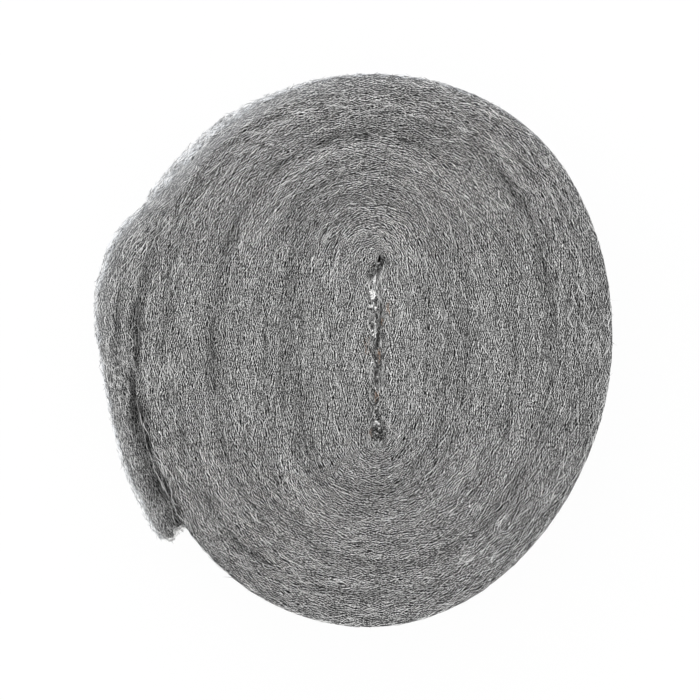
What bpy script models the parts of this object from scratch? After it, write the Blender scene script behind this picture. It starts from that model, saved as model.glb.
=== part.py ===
"""A household roll of steel wool: one strip of matted steel fibre, wound up round a flat fold.

The roll stands on its end with its axis along +Z, so its turns are seen from above. The strip's
outer end, the tail, has sprung away from the roll on the -X side. Round the fold the strip is
matted into one with the turn outside it.
"""

import math

import bmesh
import bpy

# Driving dimensions in metres.
STRIP_WIDTH = 0.090  # across the strip, which is the height of the standing roll
ROLL_HALF_WIDTH = 0.0513  # from the roll's middle to its +X side
ROLL_HALF_LENGTH = 0.0612  # from the middle to its +Y side
FOLD_HALF_LENGTH = 0.0202  # the flat fold in the middle, along Y
FOLD_GAP = 0.0020  # between the two sides of the fold
TURN_GAP = 0.0005  # between a turn and the next one
TAIL_GAP = 0.0019  # more than that, behind the tail
EDGE_ROUND = 0.0015  # along the strip's edges

# Where the strip runs. An edge is the line between two turns, as a share of the way from the fold
# to the roll's side, at eight directions a turn. The first row is the outside of the outer turn.
START_ANGLE = math.radians(225.0)  # the first direction of each row; the next ones are clockwise
EDGES = (
    # lower left, left, upper left, top, upper right, right, lower right, bottom
    (1.178, 1.139, 1.062, 0.980, 1.037, 1.006, 0.957, 0.985),
    (1.036, 1.038, 1.000, 0.893, 0.905, 0.870, 0.835, 0.825),
    (0.875, 0.875, 0.865, 0.780, 0.785, 0.750, 0.725, 0.665),
    (0.710, 0.700, 0.705, 0.668, 0.620, 0.600, 0.560, 0.550),
    (0.550, 0.480, 0.490, 0.480, 0.420, 0.390, 0.345, 0.360),
    (0.360, 0.320, 0.310, 0.300, 0.260, 0.220, 0.180, 0.150),
)
TAIL_END = 0.018  # the strip's outer end, in turns from the first direction
MATTED_FROM = 5.450  # where the gap between the turns closes, in turns
BULGE_AT = 0.168  # the tail's elbow, where it springs off the roll
BULGE_SPREAD = 0.032  # how far the elbow reaches along the strip, in turns
BULGE_SHARE = 0.107  # how far it stands out
FOLD_ROUNDNESS = 0.35  # small values keep the turns beside the fold straight

STEPS_PER_TURN = 48
FOLD_STEPS = 24
BEVEL_SEGMENTS = 2
WELD = 0.00001
CUT_PAST = 0.002  # how far the fold's cutter goes past the roll
LEVEL_NORMAL = 0.99  # the least upright part of a level face's normal
CORNER = math.radians(60.0)  # an upright edge that turns more than this is a corner
SHARP_ANGLE = math.radians(40.0)

WOOL_COLOUR = (0.225, 0.222, 0.218, 1.0)
WOOL_ROUGHNESS = 0.55
WOOL_METALLIC = 0.6


def clear_scene():
    """Remove every object that the file opened with."""
    for thing in list(bpy.data.objects):
        bpy.data.objects.remove(thing, do_unlink=True)


def curve_through(values, place):
    """Read a smooth curve through evenly spaced values at a place counted in values."""
    last = len(values) - 1
    low = min(max(int(place), 0), last - 1)
    part = min(max(place - low, 0.0), 1.0)
    before, start, end, after = (values[min(max(low + k, 0), last)] for k in (-1, 0, 1, 2))
    bend = 2.0 * before - 5.0 * start + 4.0 * end - after
    twist = 3.0 * start - before - 3.0 * end + after
    return start + 0.5 * part * (end - before + part * (bend + part * twist))


def edge_share(turn):
    """Give the edge between two turns, where turn counts inwards from the first direction."""
    values = [share for row in EDGES for share in row]
    bulge = BULGE_SHARE * math.exp(-(((turn - BULGE_AT) / BULGE_SPREAD) ** 2) / 2.0)
    return curve_through(values, turn * len(EDGES[0])) + bulge


def on_roll(share, turn):
    """Place a point of the winding: flat loops round the fold that widen into the roll's oval."""
    angle = START_ANGLE - 2.0 * math.pi * turn
    height = math.sin(angle)
    along_fold = height / math.hypot(height, FOLD_ROUNDNESS) * math.hypot(1.0, FOLD_ROUNDNESS)
    return (
        share * ROLL_HALF_WIDTH * math.cos(angle),
        share * ROLL_HALF_LENGTH * height + (1.0 - share) * FOLD_HALF_LENGTH * along_fold,
    )


def inner_side(turn):
    """Give the strip's inner side, a gap outside the next turn, which is wider behind the tail."""
    behind_tail = math.sqrt(max(0.0, 1.0 - turn / BULGE_AT))
    return edge_share(turn + 1.0) + (TURN_GAP + TAIL_GAP * behind_tail) / ROLL_HALF_WIDTH


def turns_between(start, end):
    """List the places along the strip from start to end, at even steps apart from the last ones."""
    first = math.ceil(start * STEPS_PER_TURN + 0.5)
    last = math.floor(end * STEPS_PER_TURN - 0.5)
    return [start, *(step / STEPS_PER_TURN for step in range(first, last + 1)), end]


def roll_outline():
    """Walk round the roll from the tail's end, in along the gap between the turns and out again."""
    inwards = turns_between(TAIL_END, MATTED_FROM)
    outwards = reversed(turns_between(TAIL_END, MATTED_FROM - 1.0))
    return [on_roll(edge_share(turn), turn) for turn in inwards] + [
        on_roll(inner_side(turn), turn) for turn in outwards
    ]


def fold_outline():
    """Walk round the flat fold in the middle."""
    fold_share = FOLD_GAP / 2.0 / ROLL_HALF_WIDTH
    return [on_roll(fold_share, step / FOLD_STEPS) for step in range(FOLD_STEPS)]


def solid_of_outline(name, outline, low, high):
    """Extrude a closed outline between two heights, as a mesh with one face at each end."""
    flat = bpy.data.curves.new(name, "CURVE")
    flat.dimensions = "2D"
    flat.fill_mode = "BOTH"
    flat.extrude = (high - low) / 2.0
    spline = flat.splines.new("POLY")
    spline.points.add(len(outline) - 1)
    for point, (x, y) in zip(spline.points, outline, strict=True):
        point.co = (x, y, 0.0, 1.0)
    spline.use_cyclic_u = True
    guide = bpy.data.objects.new(name, flat)
    bpy.context.scene.collection.objects.link(guide)
    seen = guide.evaluated_get(bpy.context.evaluated_depsgraph_get())
    mesh = bpy.data.meshes.new_from_object(seen)
    bpy.data.objects.remove(guide, do_unlink=True)
    bpy.data.curves.remove(flat)

    shape = bmesh.new()
    shape.from_mesh(mesh)
    bmesh.ops.remove_doubles(shape, verts=shape.verts, dist=WELD)
    inside_caps = [edge for edge in shape.edges if flat_sides(edge) == 2]
    bmesh.ops.dissolve_edges(shape, edges=inside_caps, use_verts=False)
    bmesh.ops.recalc_face_normals(shape, faces=shape.faces)
    bmesh.ops.translate(shape, verts=shape.verts, vec=(0.0, 0.0, (high + low) / 2.0))
    mark_rounded_edges(shape)
    shape.to_mesh(mesh)
    shape.free()
    return bpy.data.objects.new(name, mesh)


def flat_sides(edge):
    """Count the faces at an edge that lie level."""
    return sum(abs(face.normal.z) > LEVEL_NORMAL for face in edge.link_faces)


def mark_rounded_edges(shape):
    """Weight the edges round both end faces, and the corners of the tail's end, for the bevel."""
    weights = shape.edges.layers.float.new("bevel_weight_edge")
    for edge in shape.edges:
        corner = flat_sides(edge) == 0 and edge.is_convex and edge.calc_face_angle() > CORNER
        edge[weights] = 1.0 if flat_sides(edge) == 1 or corner else 0.0


def wool_material():
    """Give the dull grey of matted steel fibre."""
    material = bpy.data.materials.new("steel_wool")
    material.use_nodes = True
    shader = material.node_tree.nodes["Principled BSDF"]
    shader.inputs["Base Color"].default_value = WOOL_COLOUR
    shader.inputs["Roughness"].default_value = WOOL_ROUGHNESS
    shader.inputs["Metallic"].default_value = WOOL_METALLIC
    return material


def make_fold_cutter():
    """Build the thin upright shape that opens the fold, past both ends of the roll."""
    cutter = solid_of_outline("fold_cutter", fold_outline(), -CUT_PAST, STRIP_WIDTH + CUT_PAST)
    cutter.hide_render = True
    cutter.display_type = "WIRE"
    return cutter


def make_roll(fold_cutter):
    """Build the wound strip as one solid: its edges are rounded, then the fold is opened."""
    roll = solid_of_outline("wool_roll", roll_outline(), 0.0, STRIP_WIDTH)
    roll.data.materials.append(wool_material())
    rounding = roll.modifiers.new("rounded_edges", "BEVEL")
    rounding.width = EDGE_ROUND
    rounding.segments = BEVEL_SEGMENTS
    rounding.limit_method = "WEIGHT"
    rounding.use_clamp_overlap = False
    opening = roll.modifiers.new("open_fold", "BOOLEAN")
    opening.operation = "DIFFERENCE"
    opening.object = fold_cutter
    roll.data.shade_smooth()
    roll.data.set_sharp_from_angle(angle=SHARP_ANGLE)
    return roll


def centre_on_origin(parts):
    """Move the parts together, so that the roll's box stands centred on the origin."""
    outline = roll_outline()
    for axis in (0, 1):
        places = [point[axis] for point in outline]
        for part in parts:
            part.location[axis] = -(min(places) + max(places)) / 2.0


def collect(name, parts):
    """Put parts in a collection of their own."""
    collection = bpy.data.collections.new(name)
    bpy.context.scene.collection.children.link(collection)
    for part in parts:
        collection.objects.link(part)


def main():
    clear_scene()
    fold_cutter = make_fold_cutter()
    roll = make_roll(fold_cutter)
    centre_on_origin([roll, fold_cutter])
    collect("steel_wool_roll", [roll])
    collect("cutters", [fold_cutter])


main()
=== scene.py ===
"""The looks of a standing roll of steel wool.

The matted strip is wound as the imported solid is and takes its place. Loose steel strands lie on
its turns, its wall and both its ends, and in the fold in its middle. Lengths are in metres where
nothing else is said.
"""

import logging
import math
from abc import ABC, abstractmethod
from dataclasses import KW_ONLY, dataclass
from enum import Enum

import bmesh
import bpy
import numpy as np
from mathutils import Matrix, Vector


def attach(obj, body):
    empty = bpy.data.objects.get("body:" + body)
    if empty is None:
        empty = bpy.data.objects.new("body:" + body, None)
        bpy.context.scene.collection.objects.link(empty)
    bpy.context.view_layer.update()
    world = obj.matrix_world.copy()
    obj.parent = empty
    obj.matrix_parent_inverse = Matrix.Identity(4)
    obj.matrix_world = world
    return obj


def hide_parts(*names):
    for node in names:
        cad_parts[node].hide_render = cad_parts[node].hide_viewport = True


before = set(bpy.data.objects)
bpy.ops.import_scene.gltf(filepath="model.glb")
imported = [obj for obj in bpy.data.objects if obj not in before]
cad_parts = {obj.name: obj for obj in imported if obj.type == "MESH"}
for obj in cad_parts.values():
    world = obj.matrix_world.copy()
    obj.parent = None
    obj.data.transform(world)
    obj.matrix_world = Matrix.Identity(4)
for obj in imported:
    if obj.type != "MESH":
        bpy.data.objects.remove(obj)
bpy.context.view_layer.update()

NODE = "wool_roll"
BODY = "root"
BAKE_MAP = "OFBake"
MM = 0.001
HALF = 0.5
FLOOR_GAP = 0.1 * MM  # how far above the floor the lowest wool lies
WHITE = (1.0, 1.0, 1.0, 1.0)

Pair = tuple[float, float]
Row = tuple[float, ...]
Array = np.ndarray
Values = Array | float
Socket = bpy.types.NodeSocket

log = logging.getLogger("steel_wool_roll")


def mm(*values: float) -> Row:
    """Give millimetres as metres."""
    return tuple(value * MM for value in values)


def curve_through(values: Array, place: Values) -> Values:
    """Read a smooth curve through evenly spaced values.

    Args:
        values: The curve's values.
        place: Where to read it, counted in values.

    Returns:
        The curve at each place, flat past its ends.
    """
    last = len(values) - 1
    place = np.clip(place, 0.0, last)
    low = np.minimum(place.astype(int), last - 1)
    part = place - low
    before, start, end, after = (values[np.clip(low + k, 0, last)] for k in (-1, 0, 1, 2))
    bend = 2.0 * before - 5.0 * start + 4.0 * end - after
    twist = 3.0 * start - before - 3.0 * end + after
    return start + HALF * part * (end - before + part * (bend + part * twist))


def hump(value: Values, middle: float, reach: float) -> Values:
    """Give 1 at the middle, falling off smoothly on both sides as far as it reaches."""
    return np.exp(-(((value - middle) / reach) ** 2))


def raised(flat: Array, z: Array) -> Array:
    """Join x and y with z."""
    return np.concatenate([flat, z[..., None]], -1)


class End(Enum):
    """An end of the standing roll, as the direction that it faces along Z."""

    TOP = 1.0
    BOTTOM = -1.0


class Flank(Enum):
    """A side of the strip, as how far across the strip it lies."""

    OUTER = 0.0
    INNER = 1.0


@dataclass(frozen=True)
class Fold:
    """The lips of the flat fold in the middle, which nearly meet at the top of the roll.

    Each list runs from the fold's near end, at -Y, to its far end.
    """

    half_length: float = 0.0202
    half_gap: float = 0.0010
    # the opening's middle and half its width, in millimetres
    middles: Row = (
        0.15, 0.25, 0.35, 0.15, 0.00, 0.00, 0.20, -0.20, 0.30, -0.05, 0.20,
        0.05, 0.35, -0.30, -0.80, -1.00, -0.90, -0.50, -0.20, 0.40, 1.00,
    )
    openings: Row = (
        0.30, 0.60, 0.45, 0.12, 0.05, 0.05, 0.08, 0.06, 0.08, 0.08, 0.07,
        0.07, 0.08, 0.15, 0.36, 0.52, 0.62, 0.42, 0.45, 0.60, 0.40,
    )
    reach: float = 4.5 * MM
    fade: float = 0.2
    depth: float = 7.0 * MM

    def lips(self, y: Array) -> tuple[Array, Array]:
        """Give where the opening's middle is at the top of the roll, and half its width.

        Args:
            y: How far along the fold each point is, from its middle.

        Returns:
            The x of the middle, and half the width.
        """
        spots = np.linspace(-self.half_length, self.half_length, len(self.middles))
        middle = np.interp(y, spots, np.array(self.middles) * MM)
        return middle, np.interp(y, spots, np.array(self.openings) * MM)

    def drawn(self, places: Array, below: Values) -> Array:
        """Draw points beside the fold in towards its lips.

        Args:
            places: x and y of each point, from the roll's middle.
            below: How far each point is below the roll's end.

        Returns:
            The moved x and y.
        """
        x, y = places[..., 0], places[..., 1]
        middle, half = self.lips(y)
        away = np.abs(x)
        near = np.clip(1.0 - away / self.reach, 0.0, 1.0)
        beyond = np.clip(1.0 + self.fade - np.abs(y) / self.half_length, 0.0, self.fade) / self.fade
        share = near * beyond * np.exp(-below / self.depth)
        pull = (half - self.half_gap) * np.sign(x) * np.clip(away / self.half_gap, 0.0, 1.0)
        return np.stack([x + share * (pull + middle), y], -1)


@dataclass(frozen=True)
class Furrow:
    """A shallow hollow along the winding, or a ridge where its depth is below 0.

    It starts and stops at two directions, in turns from the lower left. Its lists are its shares
    of the way from the fold and its depths in millimetres, at even steps between the two. A
    rippled one is as uneven as the creases are.
    """

    start: float
    stop: float
    shares: Row
    depths: Row
    reach: float = 0.9 * MM
    rippled: bool = True

    def dip(self, turn: Array, share: Array, metres: float) -> Array:
        """Give how deep the furrow is.

        Args:
            turn: The turn of each point.
            share: How far each point is from the fold to the roll's side.
            metres: How far it is from the fold to the side.

        Returns:
            The dip in metres.
        """
        steps = np.linspace(0.0, 1.0, len(self.shares))
        part = ((turn - self.start) % 1.0) / (self.stop - self.start)
        away = (share - np.interp(part, steps, self.shares)) * metres
        depth = np.interp(part, steps, np.array(self.depths) * MM, right=0.0)
        return depth * hump(away, 0.0, self.reach)


@dataclass(frozen=True)
class Hollow:
    """An oval hollow, or a mound if its depth is below 0. Its place is from the roll's middle."""

    place: Pair
    half_sizes: Pair
    slant: float
    depth: float

    def dip(self, places: Array) -> Array:
        """Give how deep the hollow is at x and y, in metres.

        Args:
            places: x and y of each point, from the roll's middle.

        Returns:
            The dip in metres.
        """
        x, y = places[..., 0] - self.place[0], places[..., 1] - self.place[1]
        along = (x * math.cos(self.slant) + y * math.sin(self.slant)) / self.half_sizes[0]
        across = (y * math.cos(self.slant) - x * math.sin(self.slant)) / self.half_sizes[1]
        return self.depth * np.exp(-(along**2) - across**2)


@dataclass(frozen=True)
class Winding:
    """The strip's course round the fold, with the solid's sizes and narrower gaps.

    A place on the strip is a pair: its turn, counted inwards from the lower left, and how far it
    is across the strip, from 0 on the outer side to 1 on the inner side.
    """

    width: float = 0.090
    half_width: float = 0.0513
    half_length: float = 0.0612
    turn_gap: float = 0.00006
    tail_gap: float = 0.0004
    start_angle: float = math.radians(225.0)
    fold_roundness: float = 0.35
    fold: Fold = Fold()
    tail_end: float = 0.018
    outside_end: float = 1.2  # the turn by which the strip has gone once round the outside
    inner_end: float = 5.9995
    core_from: float = 4.988
    core_ready: float = 4.999
    bulge_at: float = 0.168
    bulge_spread: float = 0.032
    bulge_share: float = 0.107
    # where each turn's outer side lies, as a share of the way from the fold to the roll's side:
    # lower left, left, upper left, top, upper right, right, lower right, bottom
    edges: tuple[Row, ...] = (
        (1.178, 1.139, 1.062, 0.980, 1.037, 1.006, 0.957, 0.985),
        (1.036, 1.038, 1.000, 0.893, 0.905, 0.870, 0.835, 0.825),
        (0.875, 0.875, 0.865, 0.780, 0.785, 0.750, 0.725, 0.665),
        (0.710, 0.700, 0.705, 0.668, 0.620, 0.600, 0.560, 0.550),
        (0.550, 0.480, 0.490, 0.480, 0.420, 0.390, 0.345, 0.360),
        (0.360, 0.320, 0.310, 0.300, 0.260, 0.220, 0.180, 0.150),
    )
    # how deep the crease is at the same places, in millimetres. Below 0 there is none
    creases: tuple[Row, ...] = (
        (1.0, 1.0, 1.2, 0.9, 0.8, 0.8, 0.8, 0.8),
        (3.2, 2.1, -1.1, 0.1, 0.1, 0.4, 0.3, 0.5),
        (0.9, 0.3, 0.2, 0.4, 1.2, 0.6, 0.2, 0.3),
        (0.5, 0.8, 0.8, 1.3, 0.2, 0.6, 0.3, 0.6),
        (0.4, 0.2, 0.6, 0.5, 0.5, 0.7, 0.4, 0.6),
        (0.5, 0.3, 0.3, 0.4, 0.2, 0.1, 0.1, 0.1),
    )
    crease_reach: float = 1.5 * MM
    # the crease's unevenness, as waves with a rate for each turn, a start and a size
    ripples: tuple[Row, ...] = ((83.0, 1.0, 0.3), (127.0, 2.0, 0.3), (307.0, 0.0, 0.35))
    plain_depth: float = 0.9
    most_depth: float = 1.5
    # how wide the crease behind the tail is on the tail's side, at five places in turns
    slopes: tuple[Pair, ...] = ((0.05, 2.3), (0.085, 1.3), (0.10, 0.7), (0.13, 0.7), (0.16, 1.0))
    # where the crease is narrow on the side of the turn behind the tail
    narrow_at: float = 1.08
    narrow_spread: float = 0.12
    narrowing: float = 0.55
    # painted shade that darkens the wool where a crease is deepest, the dip at which it is darkest,
    # and the least painted shade, which below 0 is painted light
    painted_crease_shade: float = 0.6
    deepest: float = 2.4 * MM
    least_painted_shade: float = -0.15
    # shallow furrows and low ridges of the roll's end; the painted shade also darkens the wool in
    # each furrow and paints it lighter on each ridge
    furrows: tuple[Furrow, ...] = (
        Furrow(
            0.069, 0.444, (0.940, 0.920, 0.910, 0.915, 0.920, 0.915, 0.907, 0.905, 0.915, 0.930),
            (0.0, 0.5, 0.6, 0.3, 0.3, 0.2, 0.35, 0.6, 0.4, 0.0),
        ),
        Furrow(0.035, 0.26, (0.38, 0.40, 0.41, 0.39, 0.385, 0.36), (0.8, 0.6, 0.8, 0.5, 0.5, 0.7)),
        Furrow(0.11, 0.18, (1.105, 1.117, 1.125, 1.115), (0.0, 1.6, 1.0, 0.0), 0.8 * MM),
        Furrow(0.075, 0.125, (1.010, 1.010, 1.012, 1.018), (0.0, 1.8, 1.8, 0.0)),
        Furrow(
            0.0, 1.0, (0.30, 0.37, 0.38, 0.35, 0.34, 0.32, 0.26, 0.27, 0.30),
            (0.8, 0.5, 0.7, 0.6, 0.6, 0.5, 0.7, 0.7, 0.8), 2.6 * MM, rippled=False,
        ),
        Furrow(
            0.0, 1.0, (0.62, 0.66, 0.69, 0.72, 0.72, 0.80, 0.72, 0.68, 0.62),
            (0.5, 0.3, 0.0, 0.0, 0.4, 0.4, 0.7, 0.6, 0.5), 2.4 * MM, rippled=False,
        ),
        Furrow(0.10, 0.53, (0.52, 0.59, 0.62, 0.62), (-0.4, -0.4, -0.5, -0.4), 2.2 * MM, False),
        Furrow(0.18, 0.45, (0.85, 0.86, 0.87, 0.87), (0.0, -0.4, -0.5, 0.0), 2.2 * MM, False),
    )
    hollows: tuple[Hollow, ...] = (
        Hollow((0.0004, 0.0185), (0.0019, 0.0006), math.radians(50.0), 2.4 * MM),
        Hollow((-0.0012, 0.0168), (0.0013, 0.0007), math.radians(60.0), 1.8 * MM),
        Hollow((0.0002, -0.0181), (0.0015, 0.0011), 0.0, 3.0 * MM),
    )
    # a low mound on the core, which the painted shade also paints lighter
    core_mound: Hollow = Hollow((0.001, 0.012), (0.009, 0.018), 0.0, -0.65 * MM)
    # how far the loose fringe reaches outside the strip's outer side and inside it, in
    # millimetres, at 16 directions a turn
    fringes: tuple[Pair, ...] = (
        (0.7, 0.3), (1.1, 0.2), (0.7, 0.1), (0.8, 1.0), (2.1, 0.5), (0.8, 0.2), (0.6, -0.1),
        (0.3, 0.0), (0.3, -0.2), *((0.1, 0.0),) * 7,
    )
    fringe_fade: float = 0.02
    # painted light on the wool at the roll's side and in a broad band inside it, from 0 to 1, at the
    # same directions. Below 0 the band is painted shade
    painted_rims: tuple[Pair, ...] = (
        (0.25, -0.12), (0.25, -0.05), (0.30, 0.03), (0.40, 0.02), (0.42, 0.17), (0.22, 0.14),
        (0.15, 0.06), (0.15, 0.01), (0.15, -0.03), (0.08, -0.08), *((0.08, -0.10),) * 6,
    )
    rim_reach: float = 1.3 * MM
    rim_glow: float = 2.0 * MM
    band_reach: float = 7.0 * MM
    # a notch in the fringe beside the tail's elbow
    notch_at: float = 0.205
    notch_spread: float = 0.006
    notch_share: float = 0.8
    elbow_swell: float = 1.0 * MM
    elbow_at: float = 0.190
    elbow_spread: float = 0.013
    # how far the firm wool lies inside the strip's outer side. Below 0 it is outside
    skin: float = -0.33 * MM
    skin_fade: float = 0.15
    # how far the torn outer end is drawn back, in millimetres, at even steps across the strip
    tears: Row = (0.5, -0.6, -1.2, -1.3, -0.9, 0.3, 0.8, 0.2, 0.2, 0.5)
    samples: int = 600
    small_step: float = 0.002

    def outer(self, turn: Values) -> Values:
        """Give the share of the way from the fold at which the strip's outer side lies.

        Args:
            turn: The turn of each point.

        Returns:
            The share.
        """
        bulge = np.exp(-(((turn - self.bulge_at) / self.bulge_spread) ** 2) / 2.0)
        line = curve_through(np.ravel(self.edges), turn * len(self.edges[0]))
        return line + self.bulge_share * bulge

    def inner(self, turn: Values) -> Values:
        """Give the share at which the strip's inner side lies, down to the fold in the core.

        Args:
            turn: The turn of each point.

        Returns:
            The share.
        """
        behind_tail = np.sqrt(np.clip(1.0 - turn / self.bulge_at, 0.0, None))
        gap = self.turn_gap + self.tail_gap * behind_tail
        wound = self.outer(turn + 1.0) + gap / self.half_width
        core = np.clip((turn - self.core_from) / (self.core_ready - self.core_from), 0.0, 1.0)
        return wound + core * (self.fold.half_gap / self.half_width - wound)

    def share(self, turn: Values, across: Values) -> Values:
        """Give the share of the way from the fold at which a place on the strip lies."""
        outside, inside = self.outer(turn), self.inner(turn)
        return outside + across * (inside - outside)

    def on_roll(self, turn: Values, share: Values) -> Array:
        """Place points of the winding.

        Args:
            turn: The turn of each point.
            share: How far each point is from the fold to the roll's side.

        Returns:
            An array of x and y, with the roll's middle at the origin.
        """
        angle = self.start_angle - 2.0 * math.pi * turn
        height = np.sin(angle)
        rounded = math.hypot(1.0, self.fold_roundness)
        along = height / np.hypot(height, self.fold_roundness) * rounded
        x = share * self.half_width * np.cos(angle)
        y = share * self.half_length * height + (1.0 - share) * self.fold.half_length * along
        return np.stack([x, y], -1)

    def middle(self) -> Array:
        """Give the x and y of the roll's middle, which is off the centre of its box.

        Returns:
            Both, in the row frame.
        """
        turns = np.linspace(self.tail_end, self.outside_end, self.samples)
        points = self.on_roll(turns, self.outer(turns))
        return -(points.min(0) + points.max(0)) / 2.0

    def at(self, turn: Values, across: Values, below: Values = 0.0) -> Array:
        """Place points of the strip in the row frame.

        Args:
            turn: The turn of each point.
            across: How far it is across the strip.
            below: How far it is below the nearer end of the roll.

        Returns:
            An array of x and y.
        """
        flat = self.on_roll(turn, self.share(turn, across))
        return self.fold.drawn(flat, below) + self.middle()

    def thickness(self, turn: Values) -> Values:
        """Give the strip's thickness."""
        step = self.at(turn, np.ones_like(turn)) - self.at(turn, np.zeros_like(turn))
        return np.linalg.norm(step, axis=-1)

    def along(self, turn: Values, across: Values) -> Array:
        """Give the strip's direction of winding, as metres of strip for a whole turn."""
        ahead, behind = turn + self.small_step, turn - self.small_step
        return (self.at(ahead, across) - self.at(behind, across)) / (2.0 * self.small_step)

    def turn_length(self, turn: Values, across: Values) -> Values:
        """Give how many metres of strip a whole turn would take at this curve's size."""
        return np.linalg.norm(self.along(turn, across), axis=-1)

    def outwards(self, turn: Array, across: Array) -> Array:
        """Give the level direction, one unit long, that points out of the roll.

        Args:
            turn: The turn of each point.
            across: How far it is across the strip.

        Returns:
            Its x and y.
        """
        ahead = self.along(turn, across)
        length = np.linalg.norm(ahead, axis=-1, keepdims=True)
        return np.stack([-ahead[..., 1], ahead[..., 0]], -1) / length

    def ripple(self, turn: Array) -> Array:
        """Give the unevenness of a crease along its length, about one."""
        waves = sum(size * np.sin(rate * turn + start) for rate, start, size in self.ripples)
        return np.clip(self.plain_depth + waves, 0.0, self.most_depth)

    def crease(self, turn: Array, across: Array) -> Array:
        """Give how far the roll's end dips below its highest level.

        Args:
            turn: The turn of each point.
            across: How far each point is across the strip. It may be on a neighbouring turn.

        Returns:
            The dip in metres, which is deepest between two turns.
        """
        share = self.share(turn, across)
        thick = self.thickness(turn)
        depths = np.ravel(self.creases)
        flat = self.on_roll(turn, share)
        dip = self.core_mound.dip(flat) + sum(hollow.dip(flat) for hollow in self.hollows)
        uneven = self.ripple(turn)
        slope = np.interp(turn, *np.array(self.slopes).T)
        near = np.clip(1.0 - np.abs(turn - self.narrow_at) / self.narrow_spread, 0.0, 1.0)
        edge = 1.0 - self.narrowing * near
        for line, apart, part in ((turn, across, edge), (turn + 1.0, 1.0 - across, slope)):
            depth = curve_through(depths, line * len(self.creases[0])).clip(0.0) * MM
            dip = dip + uneven * depth * hump(apart * thick / part, 0.0, self.crease_reach)
        for furrow in self.furrows:
            deep = furrow.dip(turn, share, self.half_length)
            dip = dip + (uneven * deep if furrow.rippled else deep)
        return dip

    def shade(self, turn: Array, across: Array) -> Array:
        """Give the painted shade that darkens the wool down in a crease, up to 1. Below 0 it is
        painted light that makes the wool paler.

        Args:
            turn: The turn of each point.
            across: How far it is across the strip.

        Returns:
            The shade.
        """
        # no painted shade at the rim of the roll's side; the band adds painted shade where it is
        # below 0
        rim = hump(across * self.thickness(turn), 0.0, self.rim_glow) * (turn < self.covered)
        dip = np.minimum(self.crease(turn, across) / self.deepest, 1.0)
        _, band = self.painted_rim_light_and_shade(turn, across)
        shade = self.painted_crease_shade * dip * (1.0 - rim) - np.minimum(band, 0.0)
        return np.clip(shade, self.least_painted_shade, 1.0)

    def fringe(self, turn: Array) -> tuple[Array, Array]:
        """Give how far the fringe reaches outside the strip's outer side, and inside it.

        Args:
            turn: The turn of each point.

        Returns:
            Both, in metres.
        """
        shown = np.clip((self.covered - turn) / self.fringe_fade, 0.0, 1.0) * MM
        sides = np.array(self.fringes).T
        outside, inside = (curve_through(side, turn * len(side)) for side in sides)
        notch = 1.0 - self.notch_share * hump(turn, self.notch_at, self.notch_spread)
        return outside * shown * notch, inside * shown

    def swell(self, turn: Array) -> Array:
        """Give how far the wool swells out at the tail's elbow."""
        return self.elbow_swell * hump(turn, self.elbow_at, self.elbow_spread)

    def painted_backlight_share(self, turn: Array, across: Array) -> Array:
        """Give how much painted backlight, standing in for light through the thin wool near the
        roll's side, lightens it, from 0 to 1.
        """
        return sum(np.maximum(tone, 0.0) for tone in self.painted_rim_light_and_shade(turn, across))

    def painted_rim_light_and_shade(self, turn: Array, across: Array) -> list[Array]:
        """Give the painted light on the wool from the roll's side inwards, at its rim and in the
        band. Below 0 the band is painted shade.

        Args:
            turn: The turn of each point.
            across: How far it is across the strip.

        Returns:
            The painted light of the rim and that of the band.
        """
        depth = np.clip(across * self.thickness(turn) - self.firm(turn), 0.0, None)
        rim, band = (curve_through(side, turn * len(side)) for side in np.array(self.painted_rims).T)
        rim = rim * np.exp(-depth / self.rim_reach)
        band = band * hump(depth, 0.0, self.band_reach)
        return [tone * (turn < self.covered) for tone in (rim, band)]

    def start(self, across: Values) -> Values:
        """Give the turn at which the strip's torn outer end lies.

        Args:
            across: How far each point is across the strip.

        Returns:
            The turn.
        """
        steps = np.linspace(0.0, 1.0, len(self.tears))
        back = np.interp(across, steps, np.array(self.tears) * MM)
        return self.tail_end + back / self.turn_length(self.tail_end, HALF)

    def firm(self, turn: Array) -> Array:
        """Give how far inside the strip's outer side the firm wool lies on the roll's own side."""
        shown = np.clip((self.covered + self.skin_fade - turn) / self.skin_fade, 0.0, 1.0)
        return self.skin * shown - self.swell(turn) + self.fringe(turn)[1]

    @property
    def covered(self) -> float:
        """Give the turn from which the strip is covered by the turn outside it."""
        return 1.0 + self.tail_end


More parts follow.
